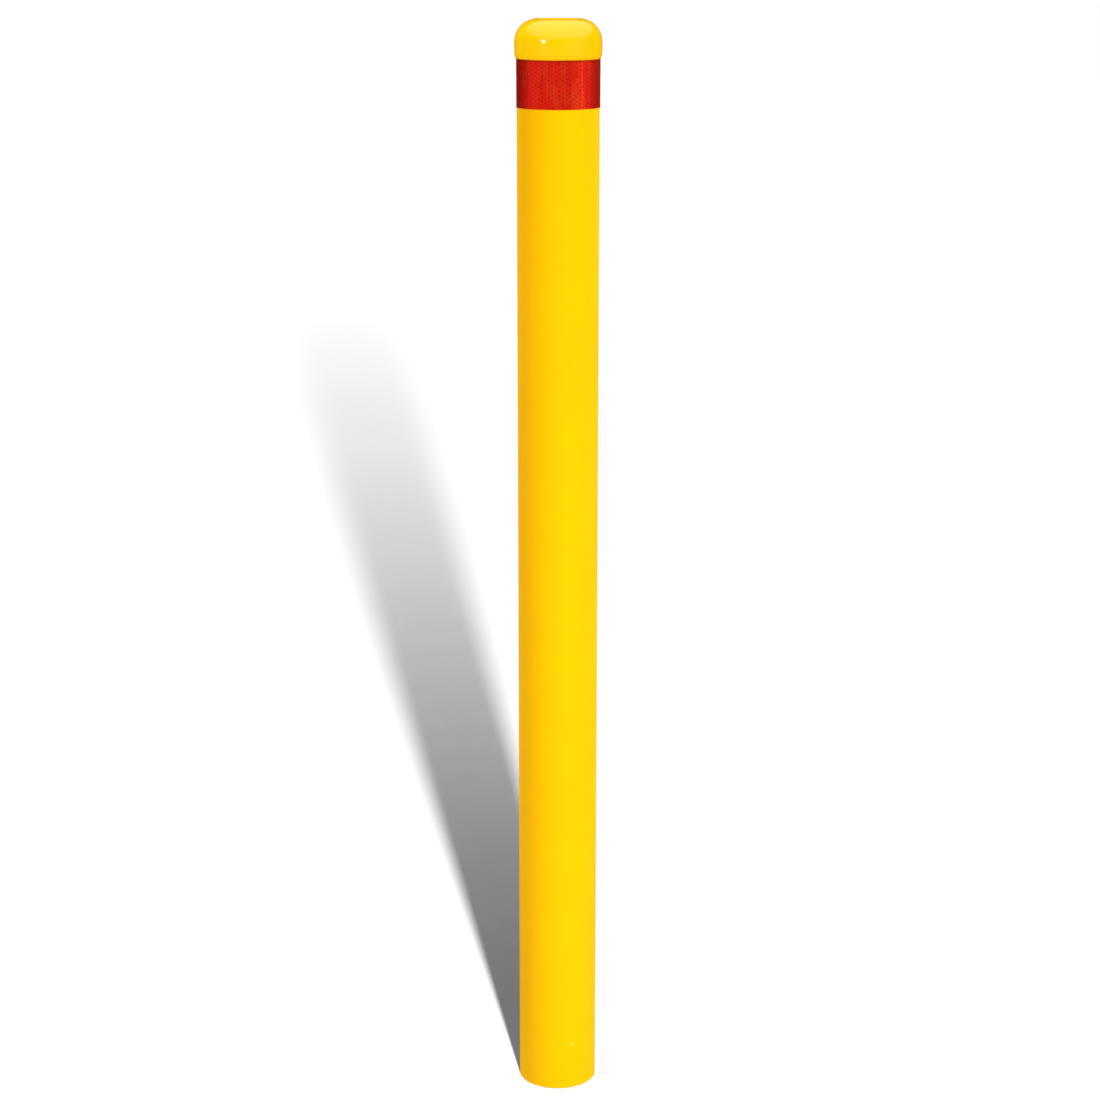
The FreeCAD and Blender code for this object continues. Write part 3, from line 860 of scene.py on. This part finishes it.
grooveLow = bushBottom + (bushTop - bushBottom - bush["grooveWidth"]) / 2
bushOutline = [
    (bush["bore"], bushBottom, 0.1),
    (bushRadius, bushBottom, 0.3),
    (bushRadius, grooveLow, 0.1),
    (bushRadius - bush["groove"], grooveLow, 0.1),
    (bushRadius - bush["groove"], grooveLow + bush["grooveWidth"], 0.1),
    (bushRadius, grooveLow + bush["grooveWidth"], 0.1),
    (bushRadius, bushTop, 0.25),
    (bush["bore"] + bush["mouth"], bushTop, 0.1),
    (bush["bore"], bushTop - bush["mouth"], 0.1),
]
bushShell = turnedRing(divided(filletedLine(bushOutline, 4), bush["step"]), bush["segments"], bushThread)
brassMaterial = turnedMetal("bushBrass", brass)
makePiece("insertBush", [bushShell], brassMaterial, "post", "insert_bush")
print("plug and bush made")

rubberMaterial = sealRubber()
gasket = {"bore": 4.4, "round": 0.35, "segments": 96}
gasketRadius, gasketBottom, gasketTop = span("cap_gasket")
gasketOutline = [
    (gasket["bore"], gasketBottom, gasket["round"]),
    (gasketRadius, gasketBottom, gasket["round"]),
    (gasketRadius, gasketTop, gasket["round"]),
    (gasket["bore"], gasketTop, gasket["round"]),
]
gasketRing = turnedRing(divided(filletedLine(gasketOutline, 5), 1.0), gasket["segments"])
makePiece("capGasket", [gasketRing], rubberMaterial, "post", "cap_gasket")
seal = {"bore": 4.2, "edge": 0.15, "outerRound": 0.55, "segments": 96}
sealRadius, sealBottom, sealTop = span("screw_seal")
sealOutline = [
    (seal["bore"], sealBottom, seal["edge"]),
    (sealRadius, sealBottom, seal["edge"]),
    (sealRadius, sealTop, seal["outerRound"]),
    (seal["bore"], sealTop, seal["edge"]),
]
sealRing = turnedRing(divided(filletedLine(sealOutline, 5), 1.0), seal["segments"])
makePiece("screwSeal", [sealRing], rubberMaterial, "screw", "screw_seal")
steelMaterial = turnedMetal("fixingSteel", steel)
washer = {"bore": 4.2, "edge": 0.15, "outerRound": 0.3, "segments": 96}
washerRadius, washerBottom, washerTop = span("screw_washer")
washerOutline = [
    (washer["bore"], washerBottom, washer["edge"]),
    (washerRadius, washerBottom, washer["outerRound"]),
    (washerRadius, washerTop, washer["outerRound"]),
    (washer["bore"], washerTop, washer["edge"]),
]
washerRing = turnedRing(divided(filletedLine(washerOutline, 4), 1.0), washer["segments"])
makePiece("screwWasher", [washerRing], steelMaterial, "screw", "screw_washer")

screw = {
    "length": 25.0,
    "shank": 3.95,
    "pitch": 1.25,
    "threadDepth": 0.62,
    "plainNeck": 1.0,
    "runout": 0.6,  # over which the thread dies away
    "step": 0.1,  # between rings of the threaded shank
    "tip": 0.8,
    "headEdge": 0.6,
    "headBulge": 0.35,
    "headFlat": 3.6,
    "socketRim": 3.05,
    "socketHalf": 2.5,
    "socketDepth": 2.6,
    "socketPoint": 0.5,
    "segments": 72,
}
headRadius, screwTip, headTop = span("cap_screw")
headSeat = screwTip + screw["length"]


def screwSurface(radius, height, angle):
    # shank less a triangle wave along a helix; in the head, the socket's circle goes over into a hexagon
    wave = np.abs(np.mod(height / screw["pitch"] - angle / (2 * np.pi), 1) - 0.5) * 2
    belowNeck = np.clip((headSeat - screw["plainNeck"] - height) / screw["runout"], 0, 1)
    cut = screw["threadDepth"] * wave * belowNeck * (radius > screw["shank"] - screw["tip"] - 0.05)
    hexagon = 1 / np.cos(np.mod(angle, np.pi / 3) - np.pi / 6)
    rim, half = screw["socketRim"], screw["socketHalf"]
    sixSided = np.clip((rim - radius) / (rim - half), 0, 1) * (height > headSeat)
    return (radius - cut) * (1 + sixSided * (hexagon - 1))


domeTurn = np.linspace(0, 1, 14)[:, None]
domeStart = np.array([headRadius, headSeat + screw["headEdge"]])
domeEnd = np.array([screw["headFlat"], headTop])
domeCorner = np.array([headRadius, headTop]) - screw["headBulge"]
dome = domeStart * (1 - domeTurn) ** 2 + 2 * domeCorner * domeTurn * (1 - domeTurn) + domeEnd * domeTurn**2
shankHeights = np.arange(screwTip + screw["tip"], headSeat - 0.2, screw["step"])
screwLine = np.concatenate(
    [
        [[0, screwTip], [screw["shank"] - screw["tip"], screwTip]],
        np.stack([np.full(len(shankHeights), screw["shank"]), shankHeights], axis=1),
        [[screw["shank"], headSeat - 0.1], [screw["shank"] + 0.2, headSeat], [headRadius - 0.2, headSeat]],
        [[headRadius, headSeat + 0.2]],
        dome,
        [[screw["socketRim"] + 0.1, headTop - 0.02], [screw["socketRim"], headTop - 0.08]],
        [[screw["socketHalf"], headTop - 0.5], [screw["socketHalf"], headTop - screw["socketDepth"]]],
        [[screw["socketHalf"] - 0.2, headTop - screw["socketDepth"] - 0.1]],
        [[0, headTop - screw["socketDepth"] - screw["socketPoint"]]],
    ]
)
screwShell = turnedSolid(screwLine, screw["segments"], screwSurface)
makePiece("capScrew", [screwShell], steelMaterial, "screw", "cap_screw")
print("screw, washer and seals made")

stage = {
    "floor": 40.0,  # metres across
    "tone": (0.86, 0.86, 0.86, 1),
    "tonePale": (0.9, 0.9, 0.9, 1),
    "cloudMm": 900,
}


def paleFloor():
    # matt pale floor, see-through from below so that the foot can be looked at
    material, tree, shader, place = startMaterial("paleFloor", Specular_IOR_Level=0.0, Roughness=1.0)
    tone = blend(tree, noise(tree, place, stage["cloudMm"], 3), stage["tone"], stage["tonePale"])
    finishMaterial(tree, shader, Base_Color=tone)
    below = wire(tree, "ShaderNodeNewGeometry").outputs["Backfacing"]
    clear = wire(tree, "ShaderNodeBsdfTransparent").outputs[0]
    mixed = wire(tree, "ShaderNodeMixShader", {0: below, 1: shader.outputs[0], 2: clear}).outputs[0]
    tree.links.new(mixed, tree.nodes["Material Output"].inputs["Surface"])
    return material


floorMesh = bpy.data.meshes.new("floor")
floorCorners = np.array([(-1, -1, 0), (1, -1, 0), (1, 1, 0), (-1, 1, 0)]) * stage["floor"] / 2
floorMesh.from_pydata(floorCorners, [], [(0, 1, 2, 3)])
floorMesh.materials.append(paleFloor())
floor = bpy.data.objects.new("floor", floorMesh)
floor.visible_glossy = False
bpy.context.scene.collection.objects.link(floor)
madePieces["postTube"].visible_diffuse = False  # keeps the tube's yellow out of the floor's shadow


def receivers(name, objects):
    # a light that names this group shines on these objects alone
    group = bpy.data.collections.new(name)
    for item in objects:
        group.objects.link(item)
    return group


wholePost = receivers("wholePost", madePieces.values())
floorOnly = receivers("floorOnly", [floor])
capOnly = receivers("capOnly", [madePieces["topCap"]])
bandOnly = receivers("bandOnly", [madePieces["reflectiveFilm"]])
fixingNames = ["tubePlug", "insertBush", "capGasket", "screwSeal", "screwWasher", "capScrew"]
fixings = receivers("fixings", [madePieces[name] for name in fixingNames])
boreOnly = receivers("boreOnly", [madePieces["postTube"], madePieces["tubePlug"]])
belowCap = receivers("belowCap", [piece for name, piece in madePieces.items() if name != "topCap"])

# Area lamps, unless they say otherwise, each with the pieces that it lights. Azimuth 0 is in front of
# the post and grows to the right, as seen from there, in degrees. A lamp that isn't marked glossy is
# kept out of the sharper reflections.
backLamp = {"elevation": 22, "distance": 3.4, "size": (1.6, 2.4), "power": 60, "on": wholePost}
bandLamp = {"elevation": 0, "distance": 3.0, "aim": (0, 0, 1.1), "on": bandOnly, "glossy": True}
fixingsLamp = {
    "distance": 1.8,
    "size": (2.6, 1.6),
    "aim": (0, 0, 1.2),
    "power": 16,
    "on": fixings,
    "glossy": True,
}
lamps = {
    "keyRight": {
        "azimuth": 38,
        "elevation": -2,
        "distance": 3.2,
        "size": (1.6, 2.4),
        "power": 116,
        "on": belowCap,
    },
    "fillLeft": {
        "azimuth": -50,
        "elevation": 26,
        "distance": 3.4,
        "size": (1.4, 2.4),
        "power": 28,
        "on": belowCap,
    },
    "footFront": {
        "azimuth": 8,
        "elevation": 0,
        "distance": 1.0,
        "size": (0.8, 0.3),
        "aim": (0, 0, 0.2),
        "power": 1.3,
        "on": belowCap,
    },
    "backRight": {**backLamp, "azimuth": 140},
    "backLeft": {**backLamp, "azimuth": -140},
    "bandLeft": {**bandLamp, "azimuth": -74, "size": (3.0, 2.0), "power": 13.0},
    "bandFront": {**bandLamp, "azimuth": -12, "size": (4.2, 2.0), "power": 17.0},
    "bandRight": {**bandLamp, "azimuth": 70, "size": (3.4, 2.0), "power": 19.0},
    "bandBack": {**bandLamp, "azimuth": 180, "elevation": 20, "size": (1.6, 1.2), "power": 8.0},
    "fixingsTop": {**fixingsLamp, "azimuth": 20, "elevation": 70, "size": (1.8, 1.2), "power": 22},
    "fixingsFront": {**fixingsLamp, "azimuth": -40, "elevation": 18, "distance": 2.4},
    "fixingsBack": {**fixingsLamp, "azimuth": 165, "elevation": 24, "distance": 2.4},
    "boreFoot": {  # inside the tube, for looking in from below
        "kind": "POINT",
        "azimuth": 0,
        "elevation": 0,
        "distance": 0.0,
        "size": 0.02,
        "aim": (0, 0, 0.16),
        "power": 0.25,
        "on": boreOnly,
        "glossy": True,
    },
    "capKey": {
        "azimuth": 52,
        "elevation": 6,
        "distance": 3.2,
        "size": (4.2, 2.6),
        "power": 60,
        "on": capOnly,
    },
    "capSoftTop": {
        "azimuth": 30,
        "elevation": 82,
        "distance": 1.7,
        "size": (6.4, 5.6),
        "aim": (0, 0, 1.2),
        "opening": 150,
        "power": 128,
        "on": capOnly,
        "glossy": True,
    },
    "capSoftLeft": {
        "azimuth": -75,
        "elevation": 62,
        "distance": 2.2,
        "size": (1.6, 1.6),
        "aim": (0, 0, 1.2),
        "power": 13,
        "on": capOnly,
    },
    "capDot": {
        "kind": "POINT",
        "azimuth": -38.8,
        "elevation": 7.5,
        "distance": 2.4,
        "size": 0.19,
        "aim": (0, 0, 1.2),
        "power": 60,
        "on": capOnly,
        "glossy": True,
    },
}
# The floor's own light is a tall, narrow row of bulbs over one spot in front of the post. All throw the
# same fan of shadow, and a lower bulb throws a longer one, so the shadow thins out along its length:
# depth is how much of the floor's light is missing at each distance behind the post, in metres.
floorRow = {
    "azimuth": 7.6,
    "distance": 1.45,
    "bulb": 0.03,
    "count": 34,
    "behind": [0.2, 0.65, 1.4, 2.35, 3.45, 4.8, 5.6, 6.6],
    "depth": [0.86, 0.79, 0.62, 0.43, 0.27, 0.15, 0.09, 0.0],
    "lowest": 0.03,  # the lowest bulb's share
}
shadowEnds = np.geomspace(floorRow["behind"][0], floorRow["behind"][-1], floorRow["count"])
depths = np.interp(shadowEnds, floorRow["behind"], floorRow["depth"])
shares = np.append(-np.diff(depths), floorRow["lowest"])
postTop = capTop * mm
for number, (shadowEnd, share) in enumerate(zip(shadowEnds, shares)):
    bulbHeight = postTop * (1 + floorRow["distance"] / shadowEnd)
    lamps[f"floorBulb{number}"] = {
        "kind": "POINT",
        "azimuth": floorRow["azimuth"],
        "elevation": 0,
        "distance": floorRow["distance"],
        "aim": (0, 0, bulbHeight),
        "size": floorRow["bulb"],
        "power": share * 4 * math.pi**2 / (stage["tone"][0] * bulbHeight),  # full white at a share of 1
        "even": True,
        "on": floorOnly,
    }
postMiddle = (0, 0, 0.62)


def lightEvenly(lamp):
    # strength times the cube of the distance, so that the whole floor gets the same light from it
    lamp.use_nodes = True
    tree = lamp.node_tree
    level = wire(tree, "ShaderNodeLightFalloff", {"Strength": 1.0}).outputs["Constant"]
    farther = calc(tree, "MULTIPLY", level, wire(tree, "ShaderNodeLightPath").outputs["Ray Length"])
    tree.links.new(farther, tree.nodes["Emission"].inputs["Strength"])


def addLamp(name, facts):
    turn, rise = math.radians(facts["azimuth"]), math.radians(facts["elevation"])
    kind = facts.get("kind", "AREA")
    lamp = bpy.data.lights.new(name, kind)
    lamp.energy = facts["power"]
    if kind == "AREA":
        lamp.shape = "RECTANGLE"
        lamp.size, lamp.size_y = facts["size"]
        lamp.spread = math.radians(facts.get("opening", 180))
    else:
        lamp.shadow_soft_size = facts["size"]
    if facts.get("even", False):
        lightEvenly(lamp)
    holder = bpy.data.objects.new(name, lamp)
    away = np.array([math.sin(turn) * math.cos(rise), -math.cos(turn) * math.cos(rise), math.sin(rise)])
    holder.location = np.array(facts.get("aim", postMiddle)) + away * facts["distance"]
    holder.rotation_euler = (math.pi / 2 - rise, 0, turn)
    holder.light_linking.receiver_collection = facts["on"]
    holder.visible_glossy = facts.get("glossy", False)
    bpy.context.scene.collection.objects.link(holder)


for lampName, lampFacts in lamps.items():
    addLamp(lampName, lampFacts)

world = bpy.data.worlds.new("studio")
bpy.context.scene.world = world
world.cycles_visibility.glossy = False
world.use_nodes = True
sky = {"light": 0.21, "backdrop": 1.0}  # what it gives the post, and what the camera sees of it
skyTree = world.node_tree
direct = wire(skyTree, "ShaderNodeLightPath").outputs["Is Camera Ray"]
skyStrength = stepBetween(skyTree, direct, 0.0, 1.0, sky["light"], sky["backdrop"])
skyTree.links.new(skyStrength, skyTree.nodes["Background"].inputs["Strength"])
skyTree.nodes["Background"].inputs["Color"].default_value = (1, 1, 1, 1)
bpy.context.scene.view_settings.view_transform = "Standard"

view = {
    "across": -0.0088,
    "back": 2.5386,
    "height": 1.3107,
    "down": 14.78,  # degrees
    "lens": 76.7,
    "sensor": 36.0,
    "farthest": 100.0,
}
lens = bpy.data.cameras.new("camera")
lens.lens = view["lens"]
lens.sensor_width = view["sensor"]
lens.clip_end = view["farthest"]
camera = bpy.data.objects.new("camera", lens)
camera.location = (view["across"], -view["back"], view["height"])
camera.rotation_euler = (math.radians(90 - view["down"]), 0, 0)
bpy.context.scene.collection.objects.link(camera)
bpy.context.scene.camera = camera
print("floor, lights and camera placed")
